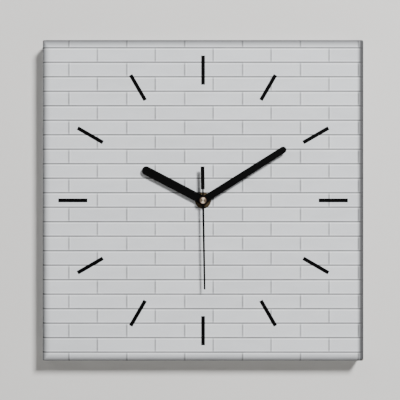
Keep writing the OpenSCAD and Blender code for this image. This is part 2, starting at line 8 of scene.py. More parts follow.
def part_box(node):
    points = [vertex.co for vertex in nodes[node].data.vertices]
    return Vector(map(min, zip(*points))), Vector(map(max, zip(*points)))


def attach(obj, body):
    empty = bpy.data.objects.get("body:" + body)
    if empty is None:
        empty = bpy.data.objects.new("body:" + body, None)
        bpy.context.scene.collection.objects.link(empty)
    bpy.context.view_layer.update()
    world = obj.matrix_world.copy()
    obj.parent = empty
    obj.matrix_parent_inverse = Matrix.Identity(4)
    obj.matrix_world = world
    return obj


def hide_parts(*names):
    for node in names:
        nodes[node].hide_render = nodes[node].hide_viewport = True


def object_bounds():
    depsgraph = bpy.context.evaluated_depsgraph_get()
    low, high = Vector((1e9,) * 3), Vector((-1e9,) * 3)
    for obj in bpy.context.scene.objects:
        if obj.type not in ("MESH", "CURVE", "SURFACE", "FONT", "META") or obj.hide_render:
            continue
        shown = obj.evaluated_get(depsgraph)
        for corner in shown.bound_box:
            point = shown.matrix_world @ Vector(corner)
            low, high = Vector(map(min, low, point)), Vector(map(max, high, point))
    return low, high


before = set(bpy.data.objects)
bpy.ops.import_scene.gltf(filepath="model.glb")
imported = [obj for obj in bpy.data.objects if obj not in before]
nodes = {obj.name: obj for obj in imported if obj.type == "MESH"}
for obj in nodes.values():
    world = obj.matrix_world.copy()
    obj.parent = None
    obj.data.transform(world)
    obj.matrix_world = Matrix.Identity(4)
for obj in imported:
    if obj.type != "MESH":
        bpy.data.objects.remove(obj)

cad_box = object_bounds()


# ---- The room ----
# The clock hangs on a plain pale wall, with a pale floor some way below it. A strong soft
# lamp high on the right casts the hands' shadows, a weak one on the left softens them, and
# two more behind the wall light the back. The camera looks straight at the face.

EYE = (-0.00284, -0.8973, -0.03413)
AIM = (0, 0, -0.034)
WALL_GAP = 0.0006
WALL_SIZE = 5
FLOOR_DROP = 1.2
FLOOR_SIZE = 12

bpy.ops.object.camera_add(location=EYE, rotation=(math.radians(90), 0, 0))
camera = bpy.context.object
camera.data.lens = 85
camera.data.sensor_width = 36
camera.data.clip_start = 0.01
bpy.context.scene.camera = camera


def lamp(name, place, size, watts):
    """A square soft lamp, turned to the clock."""
    bpy.ops.object.light_add(type="AREA", location=place)
    made = bpy.context.object
    made.name = name
    made.data.size = size
    made.data.energy = watts
    aim = Vector(AIM) - Vector(place)
    made.rotation_euler = aim.to_track_quat("-Z", "Y").to_euler()


lamp("lamp_left", (-0.80, -1.35, 1.05), 0.9, 4)
lamp("lamp_right", (1.0, -1.95, 1.29), 0.50, 134)
lamp("lamp_back_left", (1.0, 1.3, 0.9), 0.8, 64)
lamp("lamp_back_right", (-1.1, 1.2, 0.3), 0.6, 34)

world = bpy.data.worlds.new("room")
bpy.context.scene.world = world
world.use_nodes = True
world.node_tree.nodes["Background"].inputs["Color"].default_value = (0.80, 0.82, 0.85, 1)
world.node_tree.nodes["Background"].inputs["Strength"].default_value = 0.11

room_paint = bpy.data.materials.new("room_paint")
room_paint.use_nodes = True
paint = room_paint.node_tree.nodes["Principled BSDF"]
paint.inputs["Base Color"].default_value = (0.62, 0.61, 0.59, 1)
paint.inputs["Roughness"].default_value = 0.9

# The wall can be seen only from the front, so that the clock's back can be looked at.
wall_paint = room_paint.copy()
wall_paint.name = "wall_paint"
tree = wall_paint.node_tree
see_through = tree.nodes.new("ShaderNodeMixShader")
geometry = tree.nodes.new("ShaderNodeNewGeometry")
tree.links.new(geometry.outputs["Backfacing"], see_through.inputs[0])
tree.links.new(tree.nodes["Principled BSDF"].outputs[0], see_through.inputs[1])
tree.links.new(tree.nodes.new("ShaderNodeBsdfTransparent").outputs[0], see_through.inputs[2])
tree.links.new(see_through.outputs[0], tree.nodes["Material Output"].inputs[0])

bpy.ops.mesh.primitive_plane_add(
    size=FLOOR_SIZE, location=(0, 0, cad_box[0][2] - FLOOR_DROP)
)
floor = bpy.context.object
floor.name = "floor"
floor.data.materials.append(room_paint)

bpy.ops.mesh.primitive_plane_add(
    size=WALL_SIZE, location=(0, cad_box[1][1] + WALL_GAP, 0),
    rotation=(math.radians(90), 0, 0),
)
wall = bpy.context.object
wall.name = "wall"
wall.data.materials.append(wall_paint)
wall.visible_shadow = wall.visible_diffuse = wall.visible_glossy = False


# ---- Stretcher bars ----
# Four planed pine bars with mitred ends, each with a raised outer bead that keeps the
# canvas off the bar and leaves a ledge for the backing board. The grain runs along each
# bar, and all its arrises are eased with sandpaper.

MM = 0.001
BEAD = 8 * MM
BAR_EASE = 0.5 * MM
FRONT_ROUND = 4.5 * MM
TIP_CUT = 0.586 * MM
SHARP = math.radians(35)


class Socket:
    """One socket of a material. Sums on it add Math nodes, and node() adds any other."""

    def __init__(self, tree, socket):
        self.tree, self.socket = tree, socket

    def node(self, kind, settings, sockets=None, out=0):
        made = self.tree.nodes.new("ShaderNode" + kind)
        for name, value in settings.items():
            if name == "stops":
                elements = made.color_ramp.elements
                for i, (position, colour) in enumerate(value):
                    stop = elements[i] if i < 2 else elements.new(position)
                    stop.position, stop.color = position, (*colour, 1)
            else:
                setattr(made, name, value)
        for name, value in (sockets or {}).items():
            if isinstance(value, Socket):
                self.tree.links.new(value.socket, made.inputs[name])
            else:
                made.inputs[name].default_value = value
        return Socket(self.tree, made.outputs[out])

    def math(self, operation, *others):
        """A Math node with this value in its first socket."""
        return self.node("Math", {"operation": operation}, dict(enumerate((self, *others))))

    def __add__(self, other):
        return self.math("ADD", other)

    __radd__ = __add__

    def __sub__(self, other):
        return self.math("SUBTRACT", other)

    def __rsub__(self, other):
        return self.node("Math", {"operation": "SUBTRACT"}, {0: other, 1: self})

    def __mul__(self, other):
        return self.math("MULTIPLY", other)

    __rmul__ = __mul__

    def __truediv__(self, other):
        return self.math("DIVIDE", other)

    def __rtruediv__(self, other):
        return self.node("Math", {"operation": "DIVIDE"}, {0: other, 1: self})

    def __mod__(self, other):
        return self.math("FLOORED_MODULO", other)

    def __abs__(self):
        return self.math("ABSOLUTE")

    def rise(self, low, high):
        """0 at low and 1 at high, with a soft step between them."""
        return self.node(
            "MapRange", {"interpolation_type": "SMOOTHSTEP"},
            {"Value": self, "From Min": low, "From Max": high},
        )

    def xyz(self):
        split = self.tree.nodes.new("ShaderNodeSeparateXYZ")
        self.tree.links.new(self.socket, split.inputs[0])
        return [Socket(self.tree, s) for s in split.outputs]

    def scaled(self, *scale):
        return self.node("Mapping", {}, {"Vector": self, "Scale": scale})

    def noise(self, scale, detail=3, rough=0.5, twist=0):
        return self.node(
            "TexNoise", {},
            {"Vector": self, "Scale": scale, "Detail": detail, "Roughness": rough,
             "Distortion": twist},
        )

    def colours(self, *stops):
        """A colour that follows this value through the stops."""
        return self.node("ValToRGB", {"stops": stops}, {0: self})

    def between(self, low, high):
        """The colour low where this value is 0, and high where it is 1."""
        return self.node("Mix", {"data_type": "RGBA"}, {0: self, 6: low, 7: high}, 2)


def finish(name, recipe, relief, constants=None):
    """A material from a recipe: a function of the place on the piece that gives the
    sockets of the shader, and the height of its relief in metres under 'Height'."""
    made = bpy.data.materials.new(name)
    made.use_nodes = True
    tree = made.node_tree
    tree.nodes.clear()
    place = Socket(tree, tree.nodes.new("ShaderNodeTexCoord").outputs["Object"])
    sockets = recipe(place)
    height = sockets.pop("Height")
    sockets["Normal"] = place.node("Bump", {}, {"Distance": relief, "Height": height})
    shader = place.node("BsdfPrincipled", {}, {**(constants or {}), **sockets})
    tree.links.new(shader.socket, tree.nodes.new("ShaderNodeOutputMaterial").inputs[0])
    return made


def choose(*pieces):
    """Object mode, with only these pieces selected and the first one active."""
    if bpy.context.object and bpy.context.object.mode != "OBJECT":
        bpy.ops.object.mode_set(mode="OBJECT")
    bpy.ops.object.select_all(action="DESELECT")
    for piece in pieces:
        piece.select_set(True)
    if pieces:
        bpy.context.view_layer.objects.active = pieces[0]


def begin(name, shape, **settings):
    """Adds a primitive by its name, with its place put into its mesh, in edit mode."""
    choose()
    getattr(bpy.ops.mesh, "primitive_" + shape + "_add")(**settings)
    piece = bpy.context.object
    piece.name = piece.data.name = name
    bpy.ops.object.transform_apply(location=True, rotation=True, scale=True)
    bpy.ops.object.mode_set(mode="EDIT")
    return piece


def block(name, low, high):
    """Begins a block between two corners."""
    low, high = Vector(low), Vector(high)
    return begin(name, "cube", size=1, location=(low + high) / 2, scale=high - low)


def pick(kind, test):
    """In edit mode, selects the edges or faces that pass a test."""
    bpy.ops.mesh.select_mode(type=kind)
    bpy.ops.mesh.select_all(action="DESELECT")
    mesh = bmesh.from_edit_mesh(bpy.context.object.data)
    for part in {"EDGE": mesh.edges, "FACE": mesh.faces}[kind]:
        if test(part):
            part.select_set(True)
    bmesh.update_edit_mesh(bpy.context.object.data)


def cut(point, normal, keep_both=False):
    """Cuts the mesh by a plane, and drops and closes the side that the normal points to."""
    bpy.ops.mesh.select_all(action="SELECT")
    bpy.ops.mesh.bisect(
        plane_co=point, plane_no=normal, clear_outer=not keep_both, use_fill=not keep_both
    )


def modify(piece, kind, **settings):
    """Adds a modifier to a piece and applies it."""
    choose(piece)
    modifier = piece.modifiers.new(kind.lower(), kind)
    for name, value in settings.items():
        setattr(modifier, name, value)
    bpy.ops.object.modifier_apply(modifier=modifier.name)


def ease(piece, width):
    """Rounds the sharp edges a little and shades the piece."""
    modify(
        piece, "BEVEL", width=width, segments=2, limit_method="ANGLE",
        angle_limit=SHARP, use_clamp_overlap=True,
    )
    bpy.ops.object.shade_smooth_by_angle(angle=SHARP)
    modify(piece, "WEIGHTED_NORMAL", keep_sharp=True)


def copy(piece, name, move):
    """A copy of a piece with its own mesh, put in place by a matrix."""
    made = bpy.data.objects.new(name, piece.data.copy())
    made.data.name = name
    made.data.transform(move)
    bpy.context.scene.collection.objects.link(made)
    return made


def turn(angle, centre):
    """Turns in the plane of the face. A positive angle takes the top to the right."""
    return (
        Matrix.Translation(centre) @ Matrix.Rotation(math.radians(angle), 4, "Y")
        @ Matrix.Translation(-centre)
    )


def fit(piece, material, body, slot, *stands_for):
    """Finishes a piece: its material, its body and the CAD nodes it stands for. The slot is not
    used.
    """
    piece.data.materials.clear()
    piece.data.materials.append(material)
    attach(piece, body)
    if stands_for:
        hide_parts(*stands_for)


def dress(material, *names):
    """Gives a material to CAD nodes whose shape is right."""
    for name in names:
        nodes[name].data.materials.clear()
        nodes[name].data.materials.append(material)


def pine(along_x):
    def recipe(place):
        stretch = (5, 90, 90) if along_x else (90, 90, 5)
        fibre = place.scaled(*stretch).noise(6, 5, 0.65, 0.4)
        ring = place.scaled(*[s / 10 for s in stretch]).noise(4, 3, 0.5, 1.5)
        blotch = place.noise(9, 2)
        grain = (ring * 7) % 1
        tone = grain * 0.35 + fibre * 0.45 + blotch * 0.25
        return {
            "Base Color": tone.colours(
                (0.20, (0.74, 0.54, 0.31)), (0.55, (0.66, 0.45, 0.23)),
                (0.85, (0.50, 0.30, 0.13)),
            ),
            "Roughness": fibre * 0.25 + 0.5,
            "Height": fibre,
        }
    return recipe


pine_across = finish("pine_across", pine(True), 0.00012)
pine_upright = finish("pine_upright", pine(False), 0.00012)

low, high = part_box("frame_bar_top")
left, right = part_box("frame_bar_left")[0].x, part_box("frame_bar_right")[1].x
wood_front, wood_back, wood_top = low.y, high.y, high.z
face_centre = Vector(((left + right) / 2, 0, wood_top - (right - left) / 2))
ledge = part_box("backing_board")[1].y

bar = block("stretcher_top", (left, wood_front, wood_top - BEAD), (right, wood_back, wood_top))
cut((0, ledge, 0), (0, 1, 0), keep_both=True)
pick("FACE", lambda f: f.normal.z < -0.9 and f.calc_center_median().y > ledge)
bpy.ops.mesh.extrude_region_move(
    TRANSFORM_OT_translate={"value": (0, 0, low.z - wood_top + BEAD)}
)
pick("EDGE", lambda e: all(
    v.co.y < wood_front + 1e-5 and v.co.z > wood_top - 1e-5 for v in e.verts
))
bpy.ops.mesh.bevel(offset=FRONT_ROUND, segments=7, affect="EDGES")
for side in (-1, 1):
    cut(face_centre, (side, 0, -1))
    cut((side * (right - TIP_CUT), 0, wood_top - TIP_CUT), (side, 0, 1))
bpy.ops.mesh.select_all(action="SELECT")
bpy.ops.mesh.remove_doubles(threshold=1e-6)
ease(bar, BAR_EASE)
for name, angle, wood in (
    ("left", -90, pine_upright), ("bottom", 180, pine_across), ("right", 90, pine_upright)
):
    made = copy(bar, "stretcher_" + name, turn(angle, face_centre))
    fit(made, wood, "frame", "pine", "frame_bar_" + name)
fit(bar, pine_across, "frame", "pine", "frame_bar_top")


# ---- Corner nails ----
# Two V-shaped nails of bright steel strip across each mitre, driven in from the back. Their
# CAD shape is kept, and they only get their metal.


def steel(place):
    grime = place.noise(300, 4, 0.6)
    return {
        "Base Color": grime.colours((0.3, (0.42, 0.42, 0.43)), (0.7, (0.62, 0.62, 0.63))),
        "Roughness": grime * 0.25 + 0.22,
        "Height": place.noise(900, 3),
    }


bright_steel = finish("bright_steel", steel, 0.00003, {"Metallic": 1.0})
dress(bright_steel, "corner_nails")


# ---- Backing board ----
# A sheet of thin brown hardboard on the bars' ledges. Its back shows the pressed mesh of
# the screen that it was made on.

SCREEN = 4000


def hardboard(place):
    x, _, z = place.xyz()
    mesh = (x * SCREEN).math("SINE") * (z * SCREEN).math("SINE")
    fibre = place.noise(350, 5, 0.7)
    stain = place.noise(14, 3)
    tone = fibre * 0.6 + stain * 0.4 + mesh * 0.06
    return {
        "Base Color": tone.colours(
            (0.25, (0.13, 0.066, 0.032)), (0.5, (0.21, 0.115, 0.058)),
            (0.75, (0.30, 0.175, 0.095)),
        ),
        "Roughness": fibre * 0.2 + 0.62,
        "Height": mesh * 0.5 + fibre * 0.5,
    }


dress(finish("pressed_hardboard", hardboard, 0.0002), "backing_board")


# ---- Canvas ----
# One square of primed cotton canvas, printed with a pale brick pattern and twelve black
# bars, stretched over the bars and turned over onto their back, where the print ends and
# the bare cloth shows. A round hole lets the threaded bushing through. Shade round the
# edges is painted into the cloth's colour.

CANVAS_T = 0.5 * MM
EDGE_R = 5 * MM
BACK_R = 0.8 * MM
CORNER_R = 2.5 * MM
TURN_OVER = 25 * MM
HOLE_R = 4.2 * MM
PRINT_OVER = 7 * MM
COURSE = 13.49 * MM
LINE_Z = 7.16 * MM
BRICK = 53.9 * MM
JOINT_EVEN, JOINT_ODD = 9.43 * MM, -17.1 * MM
BAR_IN, BAR_OUT, BAR_HALF = 107.7 * MM, 134.8 * MM, 1.75 * MM
WEAVE = 0.62 * MM
FOLD_STEPS = 6
FOLD_W = 13 * MM
FOLD_LIFT = 0.55 * MM
FOLD_IN = 0.3 * MM
CLOTH_SHARP = math.radians(40)

canvas_low, canvas_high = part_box("canvas")
half = (canvas_high.x - canvas_low.x) / 2
face_y, back_y = canvas_low.y, canvas_high.y
arc = math.pi / 2
flat_to = half - EDGE_R
bend_to = flat_to + arc * EDGE_R
side_to = bend_to + (back_y - face_y) - EDGE_R - BACK_R
fold_to = side_to + arc * BACK_R
cloth_half = fold_to + TURN_OVER - BACK_R


def wrapped(s):
    """How far from the centre, and how deep, a point of the flat cloth comes to lie."""
    sign, s = math.copysign(1, s), abs(s)
    if s <= flat_to:
        out, deep = s, 0
    elif s <= bend_to:
        a = (s - flat_to) / EDGE_R
        out, deep = flat_to + EDGE_R * math.sin(a), EDGE_R * (1 - math.cos(a))
    elif s <= side_to:
        out, deep = half, EDGE_R + s - bend_to
    elif s <= fold_to:
        a = (s - side_to) / BACK_R
        out = half - BACK_R * (1 - math.cos(a))
        deep = back_y - face_y - BACK_R + BACK_R * math.sin(a)
    else:
        out, deep = half - BACK_R - (s - fold_to), back_y - face_y
    return sign, out, deep


# The lines of the grid: close together at the bends, wide apart where the cloth is flat.
steps = [(0, flat_to, 15), (flat_to, bend_to, 8), (bend_to, side_to, 5), (side_to, fold_to, 4),
         (fold_to, cloth_half, 6)]
lines = [a + (b - a) * i / n for a, b, n in steps for i in range(1, n + 1)]
lines = [-s for s in reversed(lines)] + [0] + lines
count = len(lines) - 1

canvas = begin("canvas_sheet", "grid", x_subdivisions=count, y_subdivisions=count, size=count)
bpy.ops.object.mode_set(mode="OBJECT")
flat_uv = canvas.data.uv_layers[0]
flat_uv.name = "flat"
flat = [
    (lines[round(v.co.x + count / 2)], lines[round(v.co.y + count / 2)])
    for v in canvas.data.vertices
]
for loop in canvas.data.loops:
    flat_uv.data[loop.index].uv = flat[loop.vertex_index]
for vertex, (s, t) in zip(canvas.data.vertices, flat):
    sign_x, x, deep_x = wrapped(s)
    sign_z, z, deep_z = wrapped(t)
    if abs(t) > side_to:
        x = min(x, z)
    if abs(s) > side_to:
        z = min(x, z)
    inner = half - CORNER_R
    reach = math.hypot(x - inner, z - inner)
    if x > inner and z > inner and reach > CORNER_R:
        x = inner + (x - inner) * CORNER_R / reach
        z = inner + (z - inner) * CORNER_R / reach
    vertex.co = (sign_x * x, face_y + max(deep_x, deep_z), face_centre.z + sign_z * z)
# The square of cloth at each corner is tucked away, and the two sides meet there.
spare = {i for i, (s, t) in enumerate(flat) if min(abs(s), abs(t)) > bend_to - 1e-7}
bpy.ops.object.mode_set(mode="EDIT")
pick("FACE", lambda f: all(v.index in spare for v in f.verts))
bpy.ops.mesh.delete(type="FACE")
bpy.ops.mesh.select_all(action="SELECT")
bpy.ops.mesh.remove_doubles(threshold=2e-5)
bpy.ops.mesh.normals_make_consistent(inside=False)
modify(canvas, "SOLIDIFY", thickness=CANVAS_T, offset=-1, use_even_offset=True)
punch = begin("punch", "cylinder", vertices=64, radius=HOLE_R, depth=0.01,
              location=(0, face_y, face_centre.z), rotation=(math.radians(90), 0, 0))
bpy.ops.object.mode_set(mode="OBJECT")
modify(canvas, "BOOLEAN", operation="DIFFERENCE", object=punch, solver="EXACT")
bpy.data.objects.remove(punch)
bpy.ops.object.shade_smooth_by_angle(angle=CLOTH_SHARP)


def canvas_print_and_edge_shade(place):
    flat = place.node("UVMap", {"uv_map": "flat"})
    u, v, _ = flat.xyz()

    # Courses are counted downwards. Every second one is moved by half a brick.
    course = (LINE_Z - v) / COURSE + 10
    row = course.math("FLOOR")
    odd = row % 2
    from_line = ((course + 0.5) % 1 - 0.5) * (COURSE / MM)
    along = (u - JOINT_EVEN + odd * (JOINT_EVEN - JOINT_ODD)) / BRICK
    brick = along.math("FLOOR")
    from_joint = ((along + 0.5) % 1 - 0.5) * (BRICK / MM)

    # Mortar: a dark line with a light edge on each side.
    patchy = flat.noise(70, 4, 0.6)
    line = abs(from_line).rise(0.95, 0.30)
    under = abs(from_line - 1.35).rise(0.85, 0.15)
    over = abs(from_line + 1.35).rise(0.85, 0.15)
    inside = abs(from_line).rise(0.6, 1.0)
    joint = abs(from_joint).rise(1.15, 0.30) * inside
    beside = abs(from_joint - 1.4).rise(0.9, 0.1) * inside
    seed = row.node("CombineXYZ", {}, {0: brick, 1: row})
    each = seed.node("TexWhiteNoise", {"noise_dimensions": "2D"}, {"Vector": seed})
    rub = flat.scaled(1, 3, 1).noise(28, 5, 0.6)
    tone = (
        0.5 + (each - 0.5) * 0.05 + (rub - 0.5) * 0.14 + (under * 0.24 + over * 0.12)
        * (patchy * 0.8 + 0.5) + beside * 0.10 - line * (patchy * 0.16 + 0.40)
        - joint * (patchy * 0.24 + 0.24)
    )
    bricks = tone.colours((0.0, (0.16, 0.163, 0.167)), (0.5, (0.585, 0.600, 0.620)),
                          (1.0, (0.95, 0.955, 0.965)))

    # Painted shade round the edges: the colour darkens in a narrow band and most of all on the
    # right, then at the top, and less at the bottom and on the left.
    narrow, broad = (2.3 * MM, 2.2 * MM), (4 * MM, 5.4 * MM)
    painted_edge_shade = [
        side.rise(flat_to - before, flat_to + after) * depth
        * (1 - side.rise(bend_to + MM, bend_to + 6 * MM) * 0.6)
        for side, (before, after), depth in (
            (u, narrow, 0.97), (0 - v, broad, 0.75), (0 - u, broad, 0.74), (v, broad, 0.88)
        )
    ]
    shade = painted_edge_shade[0]
    for other in painted_edge_shade[1:]:
        shade = shade.math("MAXIMUM", other)
    bricks = shade.between(bricks, (0.06, 0.06, 0.062, 1))

    # Twelve bars around the hands, thirty degrees apart.
    angle = u.math("ARCTAN2", v)
    radius = (u * u + v * v).math("SQRT")
    sector = (angle + math.pi / 12) % (math.pi / 6) - math.pi / 12
    outward = radius * sector.math("COSINE")
    aside = abs(radius * sector.math("SINE"))
    ink = (
        aside.rise(BAR_HALF + 0.1 * MM, BAR_HALF - 0.1 * MM)
        * outward.rise(BAR_IN - 0.1 * MM, BAR_IN + 0.1 * MM)
        * outward.rise(BAR_OUT + 0.1 * MM, BAR_OUT - 0.1 * MM)
    )

    # The print stops short of the cloth's cut edge.
    edge = abs(u).math("MAXIMUM", abs(v)) + (patchy - 0.5) * MM
    bare = edge.rise(fold_to + PRINT_OVER, fold_to + PRINT_OVER + 0.4 * MM)

    warp = u * (math.tau / WEAVE)
    weft = v * (math.tau / WEAVE)
    cross = warp.math("SINE") * weft.math("SINE")
    slub = flat.scaled(1, 12, 1).noise(220, 3) + flat.scaled(12, 1, 1).noise(220, 3)
    cloth = (slub * 0.5).colours((0.35, (0.60, 0.55, 0.45)), (0.65, (0.78, 0.74, 0.65)))
    printed = ink.between(bricks, (0.0004, 0.0004, 0.0005, 1))
    return {
        "Base Color": bare.between(printed, cloth),
        "Roughness": 0.72 + bare * 0.2 - ink * 0.1,
        "Height": cross * 0.3 + slub * 0.5,
    }


def fold(name, quarter):
    """The cloth of one side laid over its neighbour at a corner: it lies one thickness
    higher along the mitre, and comes down to the cloth below it further along."""
    piece = begin(name, "grid", x_subdivisions=FOLD_STEPS, y_subdivisions=FOLD_STEPS, size=1)
    bpy.ops.object.mode_set(mode="OBJECT")
    out = half - BACK_R
    for vertex in piece.data.vertices:
        along, across = vertex.co.x + 0.5, vertex.co.y + 0.5
        corner = out - FOLD_IN - along * (TURN_OVER - BACK_R - FOLD_IN)
        lift = FOLD_LIFT * (1 - across) ** 1.5 * (0.85 + 0.15 * math.sin(9 * along))
        vertex.co = (corner - across * FOLD_W, back_y + lift, face_centre.z + corner)
    uv = piece.data.uv_layers[0]
    uv.name = "flat"
    for loop in piece.data.loops:
        x, _, z = piece.data.vertices[loop.vertex_index].co
        uv.data[loop.index].uv = (x, fold_to + out - (z - face_centre.z))
    bpy.ops.object.mode_set(mode="EDIT")
    bpy.ops.mesh.select_all(action="SELECT")
    bpy.ops.mesh.normals_make_consistent(inside=False)
    if bmesh.from_edit_mesh(piece.data).faces[0].normal.y < 0:
        bpy.ops.mesh.flip_normals()
    modify(piece, "SOLIDIFY", thickness=CANVAS_T * 0.9, offset=-1)
    bpy.ops.object.shade_smooth_by_angle(angle=CLOTH_SHARP)
    piece.data.transform(quarter)
    return piece


printed = finish("canvas_print_and_edge_shade", canvas_print_and_edge_shade, 0.00006, {"Specular IOR Level": 0.04})
fit(canvas, printed, "frame", "canvas", "canvas")
mirror = (
    Matrix.Scale(-1, 4, (1, 0, 0)),
    Matrix.Translation((0, 0, 2 * face_centre.z)) @ Matrix.Scale(-1, 4, (0, 0, 1)),
)
for name, move in (
    ("top_right", Matrix.Identity(4)), ("top_left", mirror[0]),
    ("bottom_right", mirror[1]), ("bottom_left", mirror[0] @ mirror[1]),
):
    made = fold("fold_" + name, move)
    if move.determinant() < 0:
        made.data.flip_normals()
    fit(made, printed, "frame", "canvas")


# ---- Staples ----
# Five galvanised wire staples along each side hold the canvas to the back of the bars. Each
# is a bent wire whose crown is pressed part way into the cloth.

STAPLES = 5
CROWN = 10 * MM
LEG = 5.6 * MM
WIRE = 0.55 * MM
CROWN_PROUD = 0.22 * MM


def join(name, pieces):
    """Makes one piece of several."""
    choose(*pieces)
    bpy.ops.object.join()
    pieces[0].name = pieces[0].data.name = name
    return pieces[0]


staple = block(
    "staples",
    (-CROWN / 2, back_y + CROWN_PROUD - WIRE, half + face_centre.z - TURN_OVER / 2 - WIRE / 2),
    (CROWN / 2, back_y + CROWN_PROUD, half + face_centre.z - TURN_OVER / 2 + WIRE / 2),
)
for side in (-1, 1):
    cut((side * (CROWN / 2 - WIRE), 0, 0), (1, 0, 0), keep_both=True)
pick("FACE", lambda f: f.normal.y < -0.9 and abs(f.calc_center_median().x) > CROWN / 2 - WIRE)
bpy.ops.mesh.extrude_region_move(TRANSFORM_OT_translate={"value": (0, -LEG, 0)})
ease(staple, WIRE * 0.25)
pitch = 2 * (half - TURN_OVER) / STAPLES
copies = [
    copy(staple, "wire", turn(90 * quarter, face_centre)
         @ Matrix.Translation((pitch * (i - (STAPLES - 1) / 2), 0, 0)))
    for quarter in range(4) for i in range(STAPLES)
]
bpy.data.objects.remove(staple)
staples = join("wire_staples", copies)


def dull_wire(place):
    dull = place.noise(900, 3)
    return {
        "Base Color": dull.colours((0.3, (0.10, 0.10, 0.105)), (0.7, (0.26, 0.26, 0.27))),
        "Roughness": dull * 0.2 + 0.38,
        "Height": dull,
    }


fit(staples, finish("galvanised_wire", dull_wire, 0.00002, {"Metallic": 1.0}), "frame", "steel",
    "staples")


# ---- Movement case, cover and hanger ----
# Moulded black ABS: a box for the works and the battery, a cover snapped on behind the
# works, and a hanging loop pegged into the top of the case.

MOULD_EASE = 0.25 * MM


def eased_copy(node, name, width):
    """A CAD node's shape with its facets merged and its sharp edges rounded."""
    made = copy(nodes[node], name, Matrix.Identity(4))
    choose(made)
    bpy.ops.mesh.customdata_custom_splitnormals_clear()
    bpy.ops.object.mode_set(mode="EDIT")
    bpy.ops.mesh.select_all(action="SELECT")
    bpy.ops.mesh.remove_doubles(threshold=1e-6)
    bpy.ops.mesh.dissolve_limited(angle_limit=math.radians(0.5))
    bpy.ops.object.mode_set(mode="OBJECT")
    ease(made, width)
    return made


def moulded(base):
    def recipe(place):
        spark = place.noise(2600, 2, 0.6)
        cloud = place.noise(35, 3)
        return {
            "Base Color": (cloud * 0.7 + spark * 0.3).colours(
                (0.3, tuple(c * 0.8 for c in base)), (0.7, tuple(c * 1.25 for c in base))
            ),
            "Roughness": cloud * 0.12 + spark * 0.1 + 0.36,
            "Height": spark,
        }
    return recipe


black_abs = finish("moulded_black_abs", moulded((0.014, 0.014, 0.015)), 0.00003)
for node, name in (("front_case", "case_moulding"), ("rear_cover", "cover_moulding"),
                   ("hanger_loop", "hanger_moulding")):
    fit(eased_copy(node, name, MOULD_EASE), black_abs, "frame", "black_plastic", node)


# ---- Marks moulded on the cover ----
# Low raised marks in the same plastic: a border, two curved arrows around the knob, and a
# plus and a minus over the ends of the battery.

MARK_H = 0.3 * MM
MARK_SUNK = 0.1 * MM
cover_low, cover_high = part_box("rear_cover")
knob_low, knob_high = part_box("setting_knob")
knob_centre = (knob_low + knob_high) / 2
mark_y = (cover_high.y - MARK_SUNK, cover_high.y + MARK_H)
marks = []


def raised(name, x, z, wide, high):
    """A raised bar on the cover."""
    bar = block(name, (x - wide / 2, mark_y[0], z - high / 2),
                (x + wide / 2, mark_y[1], z + high / 2))
    ease(bar, 0.08 * MM)
    marks.append(bar)


BORDER_IN, BORDER_W = 2.2 * MM, 0.8 * MM
mid_z = (cover_low.z + cover_high.z) / 2
wide = cover_high.x - cover_low.x - 2 * BORDER_IN
high = cover_high.z - cover_low.z - 2 * BORDER_IN
for side in (-1, 1):
    raised("border_upright", side * (wide - BORDER_W) / 2, mid_z, BORDER_W, high)
    raised("border_level", 0, mid_z + side * (high - BORDER_W) / 2, wide - 2 * BORDER_W, BORDER_W)
SIGN, SIGN_W, SIGN_X, SIGN_UP = 3.0 * MM, 0.7 * MM, 22.6 * MM, 5.4 * MM
sign_z = cover_low.z + SIGN_UP
for x in (SIGN_X, -SIGN_X):
    raised("sign_level", x, sign_z, SIGN, SIGN_W)
raised("sign_upright_low", SIGN_X, sign_z - (SIGN + SIGN_W) / 4, SIGN_W, (SIGN - SIGN_W) / 2)
raised("sign_upright_high", SIGN_X, sign_z + (SIGN + SIGN_W) / 4, SIGN_W, (SIGN - SIGN_W) / 2)

ARROW_IN, ARROW_OUT, ARROW_HALF = 7.6 * MM, 8.5 * MM, 48
for middle in (0, 180):
    arc_mark = begin("arrow", "circle", vertices=120, radius=ARROW_IN, fill_type="NOTHING")
    bpy.ops.mesh.select_all(action="SELECT")
    bpy.ops.mesh.extrude_edges_move(TRANSFORM_OT_translate={"value": (0, 0, 0)})
    grow = ARROW_OUT / ARROW_IN
    bpy.ops.transform.resize(value=(grow, grow, 1), center_override=(0, 0, 0))
    pick("FACE", lambda f: abs((math.degrees(math.atan2(
        f.calc_center_median().y, f.calc_center_median().x)) - middle + 180) % 360 - 180)
        > ARROW_HALF)
    bpy.ops.mesh.delete(type="FACE")
    bpy.ops.object.mode_set(mode="OBJECT")
    modify(arc_mark, "SOLIDIFY", thickness=mark_y[1] - mark_y[0], offset=0)
    head_at = math.radians(middle + ARROW_HALF + 6)
    head = begin(
        "arrow_head", "cylinder", vertices=3, radius=1.5 * MM, depth=mark_y[1] - mark_y[0],
        location=((ARROW_IN + ARROW_OUT) / 2 * math.cos(head_at),
                  (ARROW_IN + ARROW_OUT) / 2 * math.sin(head_at), 0),
        rotation=(0, 0, head_at),
    )
    ease(head, 0.06 * MM)
    for made in (arc_mark, head):
        made.data.transform(
            Matrix.Translation((knob_centre.x, sum(mark_y) / 2, knob_centre.z))
            @ Matrix.Rotation(math.radians(90), 4, "X")
        )
        marks.append(made)
fit(join("cover_marks", marks), black_abs, "frame", "black_plastic")


# ---- Washers, nut and bushing ----
# A threaded brass bushing comes through board and canvas. A rubber washer behind, and a
# brass washer and hexagonal nut in front, hold the movement to the board.


# The brass colour is far darker than brass is: painted shade, so that the nut and washer look
# shaded under the hub and hands.
def brass(place):
    stain = place.noise(160, 4, 0.6)
    fine = place.noise(1500, 3)
    return {
        "Base Color": stain.colours((0.3, (0.045, 0.031, 0.017)), (0.7, (0.11, 0.078, 0.042))),
        "Roughness": stain * 0.2 + 0.38,
        "Height": fine,
    }


